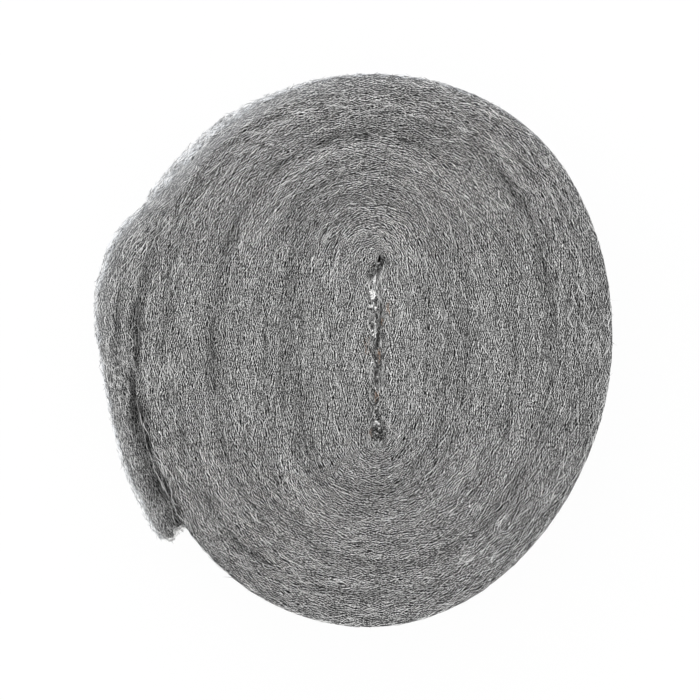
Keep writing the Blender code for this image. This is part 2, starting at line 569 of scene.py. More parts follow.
class Nodes:
    """A short way to add nodes to a node tree and link them."""

    MIX_INPUTS = (0, 6, 7)  # a Mix node's factor and its two colours
    MIX_RESULT = 2

    def __init__(self, tree: bpy.types.NodeTree) -> None:
        """Take the tree that the nodes go into."""
        self.tree = tree

    def add(self, kind: str, **settings: object) -> bpy.types.Node:
        """Add a node.

        Args:
            kind: The node's type, without the word that they all start with.
            settings: Its properties.

        Returns:
            The node.
        """
        node = self.tree.nodes.new("ShaderNode" + kind)
        for name, value in settings.items():
            setattr(node, name, value)
        return node

    def white(self, kind: str) -> bpy.types.Node:
        """Add a node whose colour is white.

        Args:
            kind: The node's type, as add takes it.

        Returns:
            The node.
        """
        node = self.add(kind)
        node.inputs["Color"].default_value = WHITE
        return node

    def feed(self, socket: Socket, value: object) -> None:
        """Link another node's output to a socket, or set the socket's own value.

        Args:
            socket: The input.
            value: The output or the value.
        """
        if isinstance(value, Socket):
            self.tree.links.new(value, socket)
        else:
            socket.default_value = value

    def maths(self, operation: str, *values: object) -> Socket:
        """Add a Math node.

        Args:
            operation: What it works out.
            values: Outputs or plain numbers.

        Returns:
            Its result.
        """
        node = self.add("Math", operation=operation)
        for socket, value in zip(node.inputs, values, strict=False):
            self.feed(socket, value)
        return node.outputs[0]

    def rise(self, value: Socket, edges: Pair, least: float = 0.0) -> Socket:
        """Add nodes that turn a value into a rise.

        Args:
            value: The value.
            edges: Where the rise starts and ends.
            least: What it rises from.

        Returns:
            Least up to the first edge, 1 from the second on, and a straight rise between them.
        """
        node = self.add("MapRange", clamp=True)
        self.feed(node.inputs["Value"], value)
        node.inputs["From Min"].default_value, node.inputs["From Max"].default_value = edges
        node.inputs["To Min"].default_value = least
        return node.outputs["Result"]

    def mix(self, factor: object, start: object, end: object) -> Socket:
        """Add a Mix node for colours.

        Args:
            factor: How much of the second colour there is.
            start: The first colour.
            end: The second.

        Returns:
            The mixed colour.
        """
        node = self.add("Mix", data_type="RGBA")
        for index, value in zip(self.MIX_INPUTS, (factor, start, end), strict=True):
            self.feed(node.inputs[index], value)
        return node.outputs[self.MIX_RESULT]

    def noise(self, x: object, y: object, sizes: tuple[object, object], layer: float) -> Socket:
        """Add a smooth Noise Texture.

        Args:
            x: The place along.
            y: The place across.
            sizes: How long and how wide its spots are.
            layer: A number that makes it unlike the other noises.

        Returns:
            The noise, which is about a half.
        """
        place = self.add("CombineXYZ")
        self.feed(place.inputs["X"], self.maths("DIVIDE", x, sizes[0]))
        self.feed(place.inputs["Y"], self.maths("DIVIDE", y, sizes[1]))
        place.inputs["Z"].default_value = layer
        noise = self.add("TexNoise")
        self.feed(noise.inputs["Vector"], place.outputs[0])
        noise.inputs["Scale"].default_value = 1.0
        noise.inputs["Detail"].default_value = 0.0
        return noise.outputs["Fac"]


class StrandPattern:
    """The shader group that draws strands too fine to be modelled, tangled along the strip, with
    painted glints on them.
    """

    NAME = "strand_pattern"
    SLANTS = (-0.25, 0.25)
    SLANT_LAYERS = 40.0  # how many layers of noise apart two slants of 0 and 1 are
    SWING_LAYER = 12.8
    SWING_WIDTH = 0.6
    CREST = (0.4, 1.0)
    PATCH_LAYER = 31.0
    PATCH_WIDTH = 0.8
    PATCH_EDGES = (0.38, 0.52)
    FAINTEST = 0.76
    # painted glints: spots along the strands that stay bright while the rest are dulled
    PAINTED_GLINT = mm(0.20, 0.20)
    PAINTED_GLINT_LAYER = 55.5
    PAINTED_GLINT_EDGES = (0.38, 0.57)
    DULLEST_PAINTED_GLINT = 0.17
    STREAK = mm(9.0, 0.8)
    STREAK_LAYER = 7.5
    STREAK_EDGES = (0.35, 0.62)
    DARKEST_STREAK = 0.74
    SOCKETS = (
        ("Strip", "INPUT", "NodeSocketVector"),
        ("Pitch", "INPUT", "NodeSocketFloat"),
        ("Run", "INPUT", "NodeSocketFloat"),
        ("Bend", "INPUT", "NodeSocketFloat"),
        ("Strands", "OUTPUT", "NodeSocketFloat"),
    )

    @classmethod
    def group(cls) -> bpy.types.NodeTree:
        """Build the group.

        Returns:
            The group, whose output is 0 between the strands and up to 1 on them.
        """
        tree = bpy.data.node_groups.new(cls.NAME, "ShaderNodeTree")
        for label, direction, kind in cls.SOCKETS:
            tree.interface.new_socket(label, in_out=direction, socket_type=kind)
        source, result = tree.nodes.new("NodeGroupInput"), tree.nodes.new("NodeGroupOutput")
        nodes = Nodes(tree)
        split = nodes.add("SeparateXYZ")
        nodes.feed(split.inputs[0], source.outputs["Strip"])
        x, y = split.outputs["X"], split.outputs["Y"]
        layers = [cls.layer(nodes, source, (x, y), slant) for slant in cls.SLANTS]
        strands = nodes.maths("MAXIMUM", *layers)
        # painted glints on the strands
        painted_glints = nodes.noise(x, y, cls.PAINTED_GLINT, cls.PAINTED_GLINT_LAYER)
        lit = nodes.maths("MULTIPLY", strands, nodes.rise(painted_glints, cls.PAINTED_GLINT_EDGES, cls.DULLEST_PAINTED_GLINT))
        streak = nodes.noise(x, y, cls.STREAK, cls.STREAK_LAYER)
        streak = nodes.rise(streak, cls.STREAK_EDGES, cls.DARKEST_STREAK)
        nodes.feed(result.inputs["Strands"], nodes.maths("MULTIPLY", lit, streak))
        return tree

    @classmethod
    def layer(
        cls, nodes: Nodes, source: bpy.types.Node, place: tuple[object, object], slant: float
    ) -> Socket:
        """Add one layer of wavy strands that lie at a slant to the strip.

        Args:
            nodes: The group's nodes.
            source: The group's inputs.
            place: The place along the strip and across it.
            slant: The slant, as a slope. It also makes this layer unlike the others.

        Returns:
            The layer's brightness.
        """
        pitch, run = source.outputs["Pitch"], source.outputs["Run"]
        unlike = cls.SLANT_LAYERS * slant
        x = place[0]
        y = nodes.maths("ADD", place[1], nodes.maths("MULTIPLY", x, slant))
        swing_sizes = (run, nodes.maths("MULTIPLY", run, cls.SWING_WIDTH))
        swing = nodes.noise(x, y, swing_sizes, cls.SWING_LAYER + unlike)
        swing = nodes.maths("SUBTRACT", swing, HALF)
        aside = nodes.maths("MULTIPLY", swing, source.outputs["Bend"])
        turns = nodes.maths("DIVIDE", nodes.maths("ADD", y, aside), pitch)
        wave = nodes.maths("SINE", nodes.maths("MULTIPLY", turns, 2.0 * math.pi))
        patch_sizes = (run, nodes.maths("MULTIPLY", pitch, cls.PATCH_WIDTH))
        patches = nodes.noise(x, y, patch_sizes, cls.PATCH_LAYER + unlike)
        strength = nodes.rise(patches, cls.PATCH_EDGES, cls.FAINTEST)
        return nodes.maths("MULTIPLY", nodes.rise(wave, cls.CREST), strength)


@dataclass(frozen=True)
class SteelFinish:
    """What all finishes share: the darkest and lightest tone of the steel, and its sheen."""

    name: str
    dark: Row = (0.002, 0.002, 0.002)
    light: Row = (1.0, 1.0, 0.99)
    specular: float = 0.15
    roughness: float = 0.4

    def begun(self) -> tuple[bpy.types.Material, Nodes, bpy.types.Node]:
        """Start the material.

        Returns:
            The material, its nodes and its shader.
        """
        material = bpy.data.materials.new(self.name)
        material.use_nodes = True
        shader = material.node_tree.nodes["Principled BSDF"]
        shader.inputs["Specular IOR Level"].default_value = self.specular
        shader.inputs["Roughness"].default_value = self.roughness
        return material, Nodes(material.node_tree), shader


@dataclass(frozen=True)
class MattedWool(SteelFinish):
    """The finish of the wool under the loose strands: dark between its own fine strands, with painted
    shade in the creases and painted backlight by the roll's side.
    """

    name: str = "matted_wool"
    roughness: float = 0.5
    # the colour of the gaps where painted backlight shows through thin wool
    thin: Row = (0.50, 0.51, 0.53)
    pitch: float = 0.44 * MM
    run: float = 2.2 * MM
    bend: float = 1.0 * MM
    relief: float = 0.15 * MM
    relief_strength: float = 0.6

    def material(self) -> bpy.types.Material:
        """Build the material, whose pattern follows the strip's own UV map.

        Returns:
            The material.
        """
        material, nodes, shader = self.begun()
        strip = nodes.add("UVMap", uv_map=WoundStrip.MAP)
        pattern = nodes.add("Group", node_tree=StrandPattern.group())
        nodes.feed(pattern.inputs["Strip"], strip.outputs["UV"])
        pattern.inputs["Pitch"].default_value = self.pitch
        pattern.inputs["Run"].default_value = self.run
        pattern.inputs["Bend"].default_value = self.bend
        strands = pattern.outputs["Strands"]
        shade, thin = (
            nodes.add("Attribute", attribute_name=name).outputs["Fac"]
            for name in (WoundStrip.PAINTED_SHADE, WoundStrip.PAINTED_BACKLIGHT)
        )
        # painted shade darkens the strands, and painted backlight lightens the gaps between them
        lit = nodes.maths("MULTIPLY", strands, nodes.maths("SUBTRACT", 1.0, shade))
        gaps = nodes.mix(thin, (*self.dark, 1.0), (*self.thin, 1.0))
        nodes.feed(shader.inputs["Base Color"], nodes.mix(lit, gaps, (*self.light, 1.0)))
        bump = nodes.add("Bump")
        bump.inputs["Strength"].default_value = self.relief_strength
        bump.inputs["Distance"].default_value = self.relief
        nodes.feed(bump.inputs["Height"], strands)
        nodes.feed(shader.inputs["Normal"], bump.outputs["Normal"])
        return material


@dataclass(frozen=True)
class LooseSteel(SteelFinish):
    """A finish of the loose strands, each with a tone of its own between two limits."""

    name: str = "loose_steel"

    def material(self) -> bpy.types.Material:
        """Build the material, whose tone is read across the strand's own UV map.

        Returns:
            The material, which is made only once.
        """
        if self.name in bpy.data.materials:
            return bpy.data.materials[self.name]
        material, nodes, shader = self.begun()
        strand = nodes.add("UVMap", uv_map=Strands.MAP)
        split = nodes.add("SeparateXYZ")
        nodes.feed(split.inputs[0], strand.outputs["UV"])
        colour = nodes.mix(split.outputs["X"], (*self.dark, 1.0), (*self.light, 1.0))
        nodes.feed(shader.inputs["Base Color"], colour)
        return material


STEEL = LooseSteel()
PALE_STEEL = LooseSteel("pale_steel", dark=(0.02, 0.021, 0.022), light=(0.82, 0.84, 0.87))
# near-white glossier steel for the painted highlights in the fold
PAINTED_HIGHLIGHT_STEEL = LooseSteel("painted_highlight_steel", dark=(0.02, 0.02, 0.02), roughness=0.3)
RUSTY_STEEL = LooseSteel("rusty_steel", dark=(0.06, 0.036, 0.024), light=(0.44, 0.32, 0.25))


def mesh_from(shape: bmesh.types.BMesh, name: str) -> bpy.types.Mesh:
    """Turn a finished bmesh into a mesh.

    Args:
        shape: The bmesh, which is freed.
        name: The mesh's name.

    Returns:
        The mesh.
    """
    mesh = bpy.data.meshes.new(name)
    shape.to_mesh(mesh)
    shape.free()
    return mesh


def placed(name: str, data: bpy.types.ID) -> bpy.types.Object:
    """Put a mesh, a lamp or a camera in the scene.

    Args:
        name: The object's name.
        data: What it shows.

    Returns:
        The object.
    """
    thing = bpy.data.objects.new(name, data)
    bpy.context.scene.collection.objects.link(thing)
    return thing


def finished(name: str, mesh: bpy.types.Mesh, finish: SteelFinish) -> bpy.types.Object:
    """Put a finished mesh in the scene as a piece of the roll.

    Args:
        name: The piece's name.
        mesh: Its mesh, already in place.
        finish: Its finish.

    Returns:
        The piece, riding on the roll's body.
    """
    mesh.name = name
    mesh.materials.clear()
    mesh.materials.append(finish.material())
    piece = placed(name, mesh)
    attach(piece, BODY)
    log.info("%s: %d triangles", name, sum(len(face.vertices) - 2 for face in mesh.polygons))
    return piece


class Side(Enum):
    """A side of the strip's section, in the order in which the section is walked round."""

    TOP = 0
    INNER_WALL = 1
    BOTTOM = 2
    OUTER_WALL = 3


@dataclass
class WoundStrip:
    """The matted strip under the loose strands, as one closed body that winds to the fold."""

    MAP = "strip"
    # the names of the strip's painted shade and painted backlight, stored on its points
    PAINTED_SHADE = "shade"
    PAINTED_BACKLIGHT = "thin"
    # where each side lies in its turn's row of the bake map, and where the roll's own wall and the
    # torn end lie in the last two rows
    BANDS = {
        Side.TOP: (0.01, 0.55),
        Side.BOTTOM: (0.57, 0.92),
        Side.INNER_WALL: (0.94, 0.96),
        Side.OUTER_WALL: (0.97, 0.99),
    }
    SPARE_STEPS = 3  # how much longer than its turn a row of the bake map is
    TURN_ROWS = 6
    ALL_ROWS = 8
    WALL_BAND = (0.02, 1.98)
    TORN_BAND = (0.0048, 0.024)
    TORN_PLACE = 4.0  # where the torn end lies across the strip's map, past its four sides
    CLOSE = 0.0001

    winding: Winding
    finish: MattedWool = MattedWool()
    steps_a_turn: int = 72
    across_steps: int = 24
    height_steps: int = 8
    end_inset: float = 0.45 * MM
    end_sharpness: int = 12
    tail_inset: float = 0.4 * MM
    raggedness: float = 0.2 * MM
    ragged_reach: float = 6.0 * MM
    # the waves of the torn end, each with a rate across the strip and one up it
    ragged_waves: tuple[Pair, ...] = ((21.0, 9.0), (9.0, 31.0))

    def section(self) -> tuple[Array, Array]:
        """Walk round the strip's section, from its outer top edge and across the top.

        Returns:
            For each point, how far it is across and how high, both from 0 to 1.
        """
        over = (1.0 - np.cos(np.linspace(0.0, math.pi, self.across_steps + 1))) / 2.0
        down = (1.0 + np.cos(np.linspace(0.0, math.pi, self.height_steps + 1))) / 2.0
        sides = (
            (over[:-1], np.ones(self.across_steps)),
            (np.ones(self.height_steps), down[:-1]),
            (over[:0:-1], np.zeros(self.across_steps)),
            (np.zeros(self.height_steps), down[:0:-1]),
        )
        across, height = (np.concatenate([side[k] for side in sides]) for k in (0, 1))
        return across, height

    def inside(self, turn: Array, across: Array) -> Array:
        """Bring points of the strip in to its firm wool.

        Args:
            turn: The turn of each point.
            across: How far it is across the firm wool.

        Returns:
            How far it is across the strip.
        """
        thick = self.winding.thickness(turn)
        behind = np.clip(1.0 - turn / self.winding.bulge_at, 0.0, 1.0)
        start = self.winding.firm(turn) / thick
        return start + across * (1.0 - start - self.winding.skin * behind / thick)

    def torn(self, turn: Array, across: Array, height: Array) -> Array:
        """Draw the strip's outer end back unevenly, as it is torn and not cut.

        Args:
            turn: The turn of each point.
            across: How far it is across the firm wool.
            height: How high it is, from 0 on the floor to 1.

        Returns:
            The moved turns.
        """
        uneven = sum(np.sin(wide * across + high * height) for wide, high in self.ragged_waves)
        length = self.winding.turn_length(turn, np.full_like(turn, HALF))
        near = np.exp(-(turn - self.winding.tail_end) * length / self.ragged_reach)
        back = self.winding.start(across) - self.winding.tail_end + uneven * self.raggedness / length
        return turn + near * back

    def near_end(self, height: Array) -> Array:
        """Give how near to an end of the roll a height is, from 0 to 1 at the end."""
        return np.clip(np.abs(height - HALF) * 2.0, 0.0, 1.0) ** self.end_sharpness

    def shaped(self, turn: Array, across: Array, height: Array) -> Array:
        """Place points of the strip's surface.

        Args:
            turn: The turn of each point.
            across: How far it is across the strip.
            height: How high it is, from 0 on the floor to 1.

        Returns:
            An array of x, y and z.
        """
        level = self.end_inset + height * (self.winding.width - 2.0 * self.end_inset)
        below = np.minimum(level, self.winding.width - level)
        dip = self.winding.crease(turn, across) * self.near_end(height)
        z = np.maximum(level - np.sign(height - HALF) * dip, FLOOR_GAP)
        return raised(self.winding.at(turn, across, below), z)

    def build(self) -> bpy.types.Object:
        """Build the strip from a grid of its length by its section.

        Returns:
            The piece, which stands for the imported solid.
        """
        section = self.section()
        tail, columns = self.winding.tail_end, len(section[0])
        start = tail + self.tail_inset / self.winding.turn_length(tail, HALF)
        long = self.winding.inner_end - start
        shape = bmesh.new()
        maps = [shape.loops.layers.uv.new(name) for name in (self.MAP, BAKE_MAP)]
        painted_shade_layer, painted_backlight_layer = (shape.verts.layers.float.new(name) for name in (self.PAINTED_SHADE, self.PAINTED_BACKLIGHT))
        rows = round(long * self.steps_a_turn)
        bmesh.ops.create_grid(shape, x_segments=rows, y_segments=columns, size=HALF)
        shape.verts.ensure_lookup_table()
        unit = np.array([v.co[:2] for v in shape.verts]) + HALF
        column = np.rint(unit[:, 1] * columns).astype(int)
        turn = start + unit[:, 0] * long
        height = section[1][column % columns]
        across = self.inside(turn, section[0][column % columns])
        turn = self.torn(turn, across, height)
        self.map_faces(shape, maps, turn, column)
        near_end = self.near_end(height)
        # painted shade in the creases and painted backlight near the roll's side, near the roll's
        # ends only
        painted_shades = self.winding.shade(turn, across) * near_end
        painted_backlights = self.winding.painted_backlight_share(turn, across) * near_end * (height > HALF)
        places = self.shaped(turn, across, height)
        for vertex, place, shade, thin in zip(shape.verts, places, painted_shades, painted_backlights, strict=True):
            vertex.co = place
            vertex[painted_shade_layer] = shade
            vertex[painted_backlight_layer] = thin
        bmesh.ops.remove_doubles(shape, verts=shape.verts, dist=MM * MM)
        ends = bmesh.ops.holes_fill(shape, edges=shape.edges, sides=0)["faces"]
        self.map_torn_end(max(ends, key=lambda end: end.calc_center_median().length), maps)
        bmesh.ops.recalc_face_normals(shape, faces=shape.faces)
        mesh = mesh_from(shape, "wound_strip")
        mesh.shade_smooth()
        piece = finished("wound_strip", mesh, self.finish)
        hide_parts(NODE)
        return piece

    def map_faces(
        self, shape: bmesh.types.BMesh, maps: list, turn: Array, column: Array
    ) -> None:
        """Lay the strip out on both maps, its own in metres and the bake map a row for each turn.

        Args:
            shape: The strip, still as a grid.
            maps: The strip's own map and the bake map.
            turn: The turn of each point.
            column: Which point of the section each point is.
        """
        across, height = self.section()
        starts = np.cumsum([0, self.across_steps, self.height_steps, self.across_steps])
        metres = self.metres_at(turn)
        thick = self.winding.thickness(turn)
        strip, bake = maps
        for face in shape.faces:
            corners = [loop.vert.index for loop in face.loops]
            first = np.searchsorted(starts, min(column[corners]), side="right") - 1
            side = Side(int(first))
            row = int(min(turn[corners]) + self.CLOSE)
            for loop, corner in zip(face.loops, corners, strict=True):
                point = column[corner] % len(across)
                parts = (across[point], 1.0 - height[point], 1.0 - across[point], height[point])
                part = parts[side.value]
                level = side in (Side.TOP, Side.BOTTOM)
                size = thick[corner] if level else self.winding.width
                loop[strip].uv = (metres[corner], side.value + part * size)
                loop[bake].uv = self.bake_place(row, turn[corner], side, part)

    def bake_place(self, row: int, turn: float, side: Side, part: float) -> Pair:
        """Give a corner's place on the bake map, where each row is a little longer than its turn.

        Args:
            row: The face's turn, in whole turns.
            turn: The corner's turn.
            side: The side of the strip.
            part: How far along that side the corner lies.

        Returns:
            The place, from 0 to 1 both ways. The roll's own wall has the last rows.
        """
        step = 1.0 / self.steps_a_turn
        along = (turn - row + step) / (1.0 + self.SPARE_STEPS * step)
        if side is Side.OUTER_WALL and row == 0:
            return along, self.wall_height(part)
        low, high = self.BANDS[side]
        return along, (row + low + (high - low) * part) / self.ALL_ROWS

    def wall_height(self, part: float) -> float:
        """Give how high on the bake map a share of the way up the roll's own wall lies."""
        low, high = self.WALL_BAND
        return (self.TURN_ROWS + low + (high - low) * part) / self.ALL_ROWS

    def map_torn_end(self, end: bmesh.types.BMFace, maps: list) -> None:
        """Lay the torn end out on both maps, beside the roll's own wall on the bake map.

        Args:
            end: The face across the strip's end.
            maps: The strip's own map and the bake map.
        """
        strip, bake = maps
        low, high = self.TORN_BAND
        reach = [math.hypot(*loop.vert.co.xy) for loop in end.loops]
        for loop, out in zip(end.loops, reach, strict=True):
            height = loop.vert.co.z
            part = (out - min(reach)) / (max(reach) - min(reach))
            loop[strip].uv = (height, self.TORN_PLACE + out)
            loop[bake].uv = (low + (high - low) * part, self.wall_height(height / self.winding.width))

    def metres_at(self, turn: Array) -> Array:
        """Give how many metres of strip lie between its tail's end and each turn.

        Args:
            turn: The turn of each point.

        Returns:
            The metres.
        """
        samples = 2 * self.winding.samples
        turns = np.linspace(self.winding.tail_end, self.winding.inner_end, samples)
        lengths = self.winding.turn_length(turns, np.full_like(turns, HALF))
        steps = (lengths[1:] + lengths[:-1]) / 2.0 * (turns[1] - turns[0])
        return np.interp(turn, turns, np.concatenate([[0.0], np.cumsum(steps)]))


@dataclass
class Strands:
    """A piece made of loose strands, each a thin three-sided spindle bent along its own path."""

    MAP = "strand"
    SIDES = 3
    MARGIN = 0.02  # round both maps
    BREADTH = 0.003  # of a strand on the maps, for each radian round it
    CLOSE = 0.001
    STEEP = 0.8
    LEAST = 1e-9

    name: str
    finish: LooseSteel
    joints: int = 3

    def spindle(self) -> bpy.types.Mesh:
        """Build one straight strand along +Z, a unit long and a unit thick, pointed at its ends.

        Returns:
            Its mesh.
        """
        shape = bmesh.new()
        bmesh.ops.create_cone(
            shape, segments=self.SIDES, radius1=1.0, radius2=1.0, depth=1.0, cap_ends=False
        )
        long_edges = [e for e in shape.edges if e.verts[0].co.z * e.verts[1].co.z < 0.0]
        bmesh.ops.subdivide_edges(shape, edges=long_edges, cuts=self.joints, use_grid_fill=True)
        for end in (-HALF, HALF):
            ring = [v for v in shape.verts if abs(v.co.z - end) < self.CLOSE]
            bmesh.ops.pointmerge(shape, verts=ring, merge_co=(0.0, 0.0, end))
        bmesh.ops.recalc_face_normals(shape, faces=shape.faces)
        mesh = mesh_from(shape, "spindle")
        for name in (self.MAP, BAKE_MAP):
            mesh.uv_layers.new(name=name)
        return mesh

    def repeated(self, count: int) -> tuple[bpy.types.Mesh, Array]:
        """Repeat the spindle.

        Args:
            count: How many strands.

        Returns:
            The mesh of all, one after the other, and the points of one.
        """
        spindle = self.spindle()
        points = np.array([v.co for v in spindle.vertices])
        guide = placed("spindle", spindle)
        row = guide.modifiers.new("row", "ARRAY")
        row.count = count
        row.use_relative_offset = False
        seen = guide.evaluated_get(bpy.context.evaluated_depsgraph_get())
        mesh = bpy.data.meshes.new_from_object(seen)
        bpy.data.objects.remove(guide, do_unlink=True)
        bpy.data.meshes.remove(spindle)
        return mesh, points

    def build(
        self, paths: Array, radii: Array, tones: Array, spins: Array
    ) -> bpy.types.Object:
        """Bend the strands along their paths.

        Args:
            paths: For each strand, the points of its path, which are two more than its joints.
            radii: Each strand's radius.
            tones: Each strand's tone, from 0 to 1.
            spins: The angle by which each strand is turned round its own path.

        Returns:
            The piece.
        """
        mesh, points = self.repeated(len(paths))
        row = np.rint((points[:, 2] + HALF) * (self.joints + 1)).astype(int)
        around = np.arctan2(points[:, 1], points[:, 0])
        wide = np.hypot(points[:, 0], points[:, 1])
        ahead = self.unit(np.gradient(paths, axis=1))
        level = np.abs(ahead[..., 2:]) < self.STEEP
        across = self.unit(np.cross(ahead, np.where(level, (0.0, 0.0, 1.0), (1.0, 0.0, 0.0))))
        upward = np.cross(across, ahead)
        turned = around[None, :] + spins[:, None]
        out = np.cos(turned)[..., None] * across[:, row] + np.sin(turned)[..., None] * upward[:, row]
        places = paths[:, row] + out * (radii[:, None] * wide)[..., None]
        mesh.vertices.foreach_set("co", places.astype(np.float32).ravel())
        self.lay_maps(mesh, row, around * wide, tones)
        mesh.update()
        return finished(self.name, mesh, self.finish)

    def unit(self, vectors: Array) -> Array:
        """Give vectors a length of one."""
        return vectors / np.maximum(np.linalg.norm(vectors, axis=-1, keepdims=True), self.LEAST)

    def lay_maps(
        self, mesh: bpy.types.Mesh, row: Array, around: Array, tones: Array
    ) -> None:
        """Write both maps: the strand's tone runs across, and its length runs up.

        Args:
            mesh: The mesh of all strands.
            row: For each point of one strand, how many joints from its start it is.
            around: For each point of one strand, its angle.
            tones: Each strand's tone.
        """
        loops = np.empty(len(mesh.loops), np.int32)
        mesh.loops.foreach_get("vertex_index", loops)
        strand, point = loops // len(row), loops % len(row)
        room = 1.0 - 2.0 * self.MARGIN
        u = self.MARGIN + room * tones[strand] + self.BREADTH * around[point]
        v = self.MARGIN + room * row[point] / (self.joints + 1)
        both = np.stack([u, v], -1).astype(np.float32).ravel()
        for name in (self.MAP, BAKE_MAP):
            mesh.uv_layers[name].uv.foreach_set("vector", both)


@dataclass(frozen=True)
class Habit:
    """How loose strands lie: their sizes and how they stray from the strip's direction.

    Lengths are in millimetres, headings in degrees and curls in radians for each metre.
    """

    SINK_POWER = 4

    length: Pair = (2.0, 5.5)
    radius: Pair = (0.028, 0.045)
    heading: float = 14.0
    curl: float = 320.0
    wave: float = 0.08
    layer: Pair = (-0.25, 0.15)
    sink: float = 0.2
    tilt: float = 0.12
    lift: float = 0.0
    least_lift: float = 0.2
    spin: Pair = (math.pi - 0.15, math.pi + 0.15)
    tone: Pair = (0.3, 0.3)  # of a beta distribution

    def wander(self, random: np.random.Generator, count: int, points: int) -> Array:
        """Draw strands on a flat sheet.

        Args:
            random: The layer's generator.
            count: How many strands.
            points: How many points each path has.

        Returns:
            For each strand and point, how far it is along the strip and across it, from the
            strand's middle, and how far it stands above the sheet.
        """
        part = np.linspace(-1.0, 1.0, points)
        line = part * random.uniform(*mm(*self.length), (count, 1)) / 2.0
        course = random.normal(0.0, math.radians(self.heading), (count, 1))
        course = course + random.normal(0.0, self.curl, (count, 1)) * line
        pace = np.gradient(line, axis=1)
        along = np.cumsum(np.cos(course) * pace, axis=1)
        across = np.cumsum(np.sin(course) * pace, axis=1)
        across = across + random.normal(0.0, self.wave * MM, (count, points))
        above = random.uniform(*mm(*self.layer), (count, 1)) - self.sink * MM * part**self.SINK_POWER
        above = above + random.normal(0.0, self.tilt * MM, (count, 1)) * part
        away = np.clip(random.choice([-1.0, 1.0], (count, 1)) * part, 0.0, 1.0)
        lift = self.lift * MM * random.uniform(self.least_lift, 1.0, (count, 1))
        above = above + lift * away**2
        middle = points // 2
        return np.stack([along - along[:, [middle]], across - across[:, [middle]], above], -1)


@dataclass
class Layer(ABC):
    """What every layer of loose strands has."""

    BACKLIT_TONE = 0.6  # the tone that painted backlight lifts the strands towards where the wool is thin

    winding: Winding
    name: str
    count: int
    seed: int
    _: KW_ONLY
    habit: Habit = Habit()
    finish: LooseSteel = STEEL
    overrun: float = 0.002  # in turns

    def __post_init__(self) -> None:
        """Start the layer's own random numbers."""
        self.random = np.random.default_rng(self.seed)
        self.strands = Strands(self.name, self.finish)

    @abstractmethod
    def build(self) -> bpy.types.Object:
        """Lay the strands and give the piece."""

    def wandered(self) -> Array:
        """Draw the layer's strands on a flat sheet, as Habit.wander gives them."""
        return self.habit.wander(self.random, self.count, self.strands.joints + 2)

    def wound(self, turn: Array, across: Array, metres: Array) -> Array:
        """Give the turns of points that lie so many metres of strip on from their strand's own."""
        return turn[:, None] + metres / self.winding.turn_length(turn, across)[:, None]

    def kept(self, turns: Array, acrosses: Values) -> Array:
        """Keep turns on the strip, with a little overrun at its ragged outer end."""
        return np.maximum(turns, self.winding.start(acrosses) - self.overrun)

    def crowded(self, crowding: float, low_part: int) -> Array:
        """Scatter heights that crowd to the top of the roll.

        Args:
            crowding: How much they crowd.
            low_part: The part of them that crowds to the bottom instead, as one in so many.

        Returns:
            The height of each strand.
        """
        height = 1.0 - self.random.uniform(0.0, 1.0, (self.count, 1)) ** crowding
        low = self.count // low_part
        height[:low] = 1.0 - height[:low]
        return height * self.winding.width

    def laid(
        self, flat: Array, z: Array, shade: Values = 0.0, thin: Values = 0.0
    ) -> bpy.types.Object:
        """Make the piece.

        Args:
            flat: x and y of the strands' paths.
            z: Their heights.
            shade: The painted shade that darkens each one, from 0 to 1.
            thin: The painted backlight that lightens each one, from 0 to 1.

        Returns:
            The piece.
        """
        radii = self.random.uniform(*mm(*self.habit.radius), self.count)
        # painted shade darkens the tones, and painted backlight lifts them
        tones = np.minimum(self.random.beta(*self.habit.tone, self.count) * (1.0 - shade), 1.0)
        tones = tones + thin * np.maximum(self.BACKLIT_TONE - tones, 0.0)
        spins = self.random.uniform(*self.habit.spin, self.count)
        return self.strands.build(raised(flat, z), radii, tones, spins)


@dataclass(kw_only=True)
class EndStrands(Layer):
    """The strands that lie on one end of the roll, along its turns."""

    end: End
    turns: Pair
    overhang: float = 0.03
    clearing: float = 0.025  # in turns, where the core starts
    crease_depth: float = 3.0 * MM
    open_air: float = 0.6 * MM
    largest: float = 0.0042  # the most of the end that a whole turn has, in square metres

    def spots(self) -> tuple[Array, Array]:
        """Scatter the strands' middles evenly over the end, but thinly in its creases and fringe.

        Returns:
            The turn of each, and how far it is across the strip.
        """
        turns, acrosses = [], []
        while sum(map(len, turns)) < self.count:
            turn = self.random.uniform(*self.turns, self.count)
            across = self.random.uniform(-self.overhang, 1.0 + self.overhang, self.count)
            thick = self.winding.thickness(turn)
            area = self.winding.turn_length(turn, across) * thick
            outside = np.clip(self.winding.firm(turn) - across * thick, 0.0, None)
            thin = np.exp(-self.winding.crease(turn, across) / self.crease_depth)
            thin = thin * np.exp(-outside / self.open_air)
            keep = self.random.uniform(0.0, self.largest, self.count) < area * thin
            keep &= np.abs(turn - self.winding.core_from) > self.clearing
            turns.append(turn[keep])
            acrosses.append(across[keep])
        return np.concatenate(turns)[: self.count], np.concatenate(acrosses)[: self.count]

    def build(self) -> bpy.types.Object:
        """Lay the strands.

        Returns:
            The piece.
        """
        turn, across = self.spots()
        moved = self.wandered()
        turns = self.wound(turn, across, moved[..., 0])
        acrosses = across[:, None] + moved[..., 1] / self.winding.thickness(turn)[:, None]
        turns = self.kept(turns, acrosses)
        middle = self.winding.width / 2.0
        level = middle - self.winding.crease(turns, acrosses) + moved[..., 2]
        z = np.maximum(middle + self.end.value * level, FLOOR_GAP)
        # the painted shade and painted backlight of the strip under each strand
        shade, thin = self.winding.shade(turn, across), self.winding.painted_backlight_share(turn, across)
        return self.laid(self.winding.at(turns, acrosses), z, shade, thin)


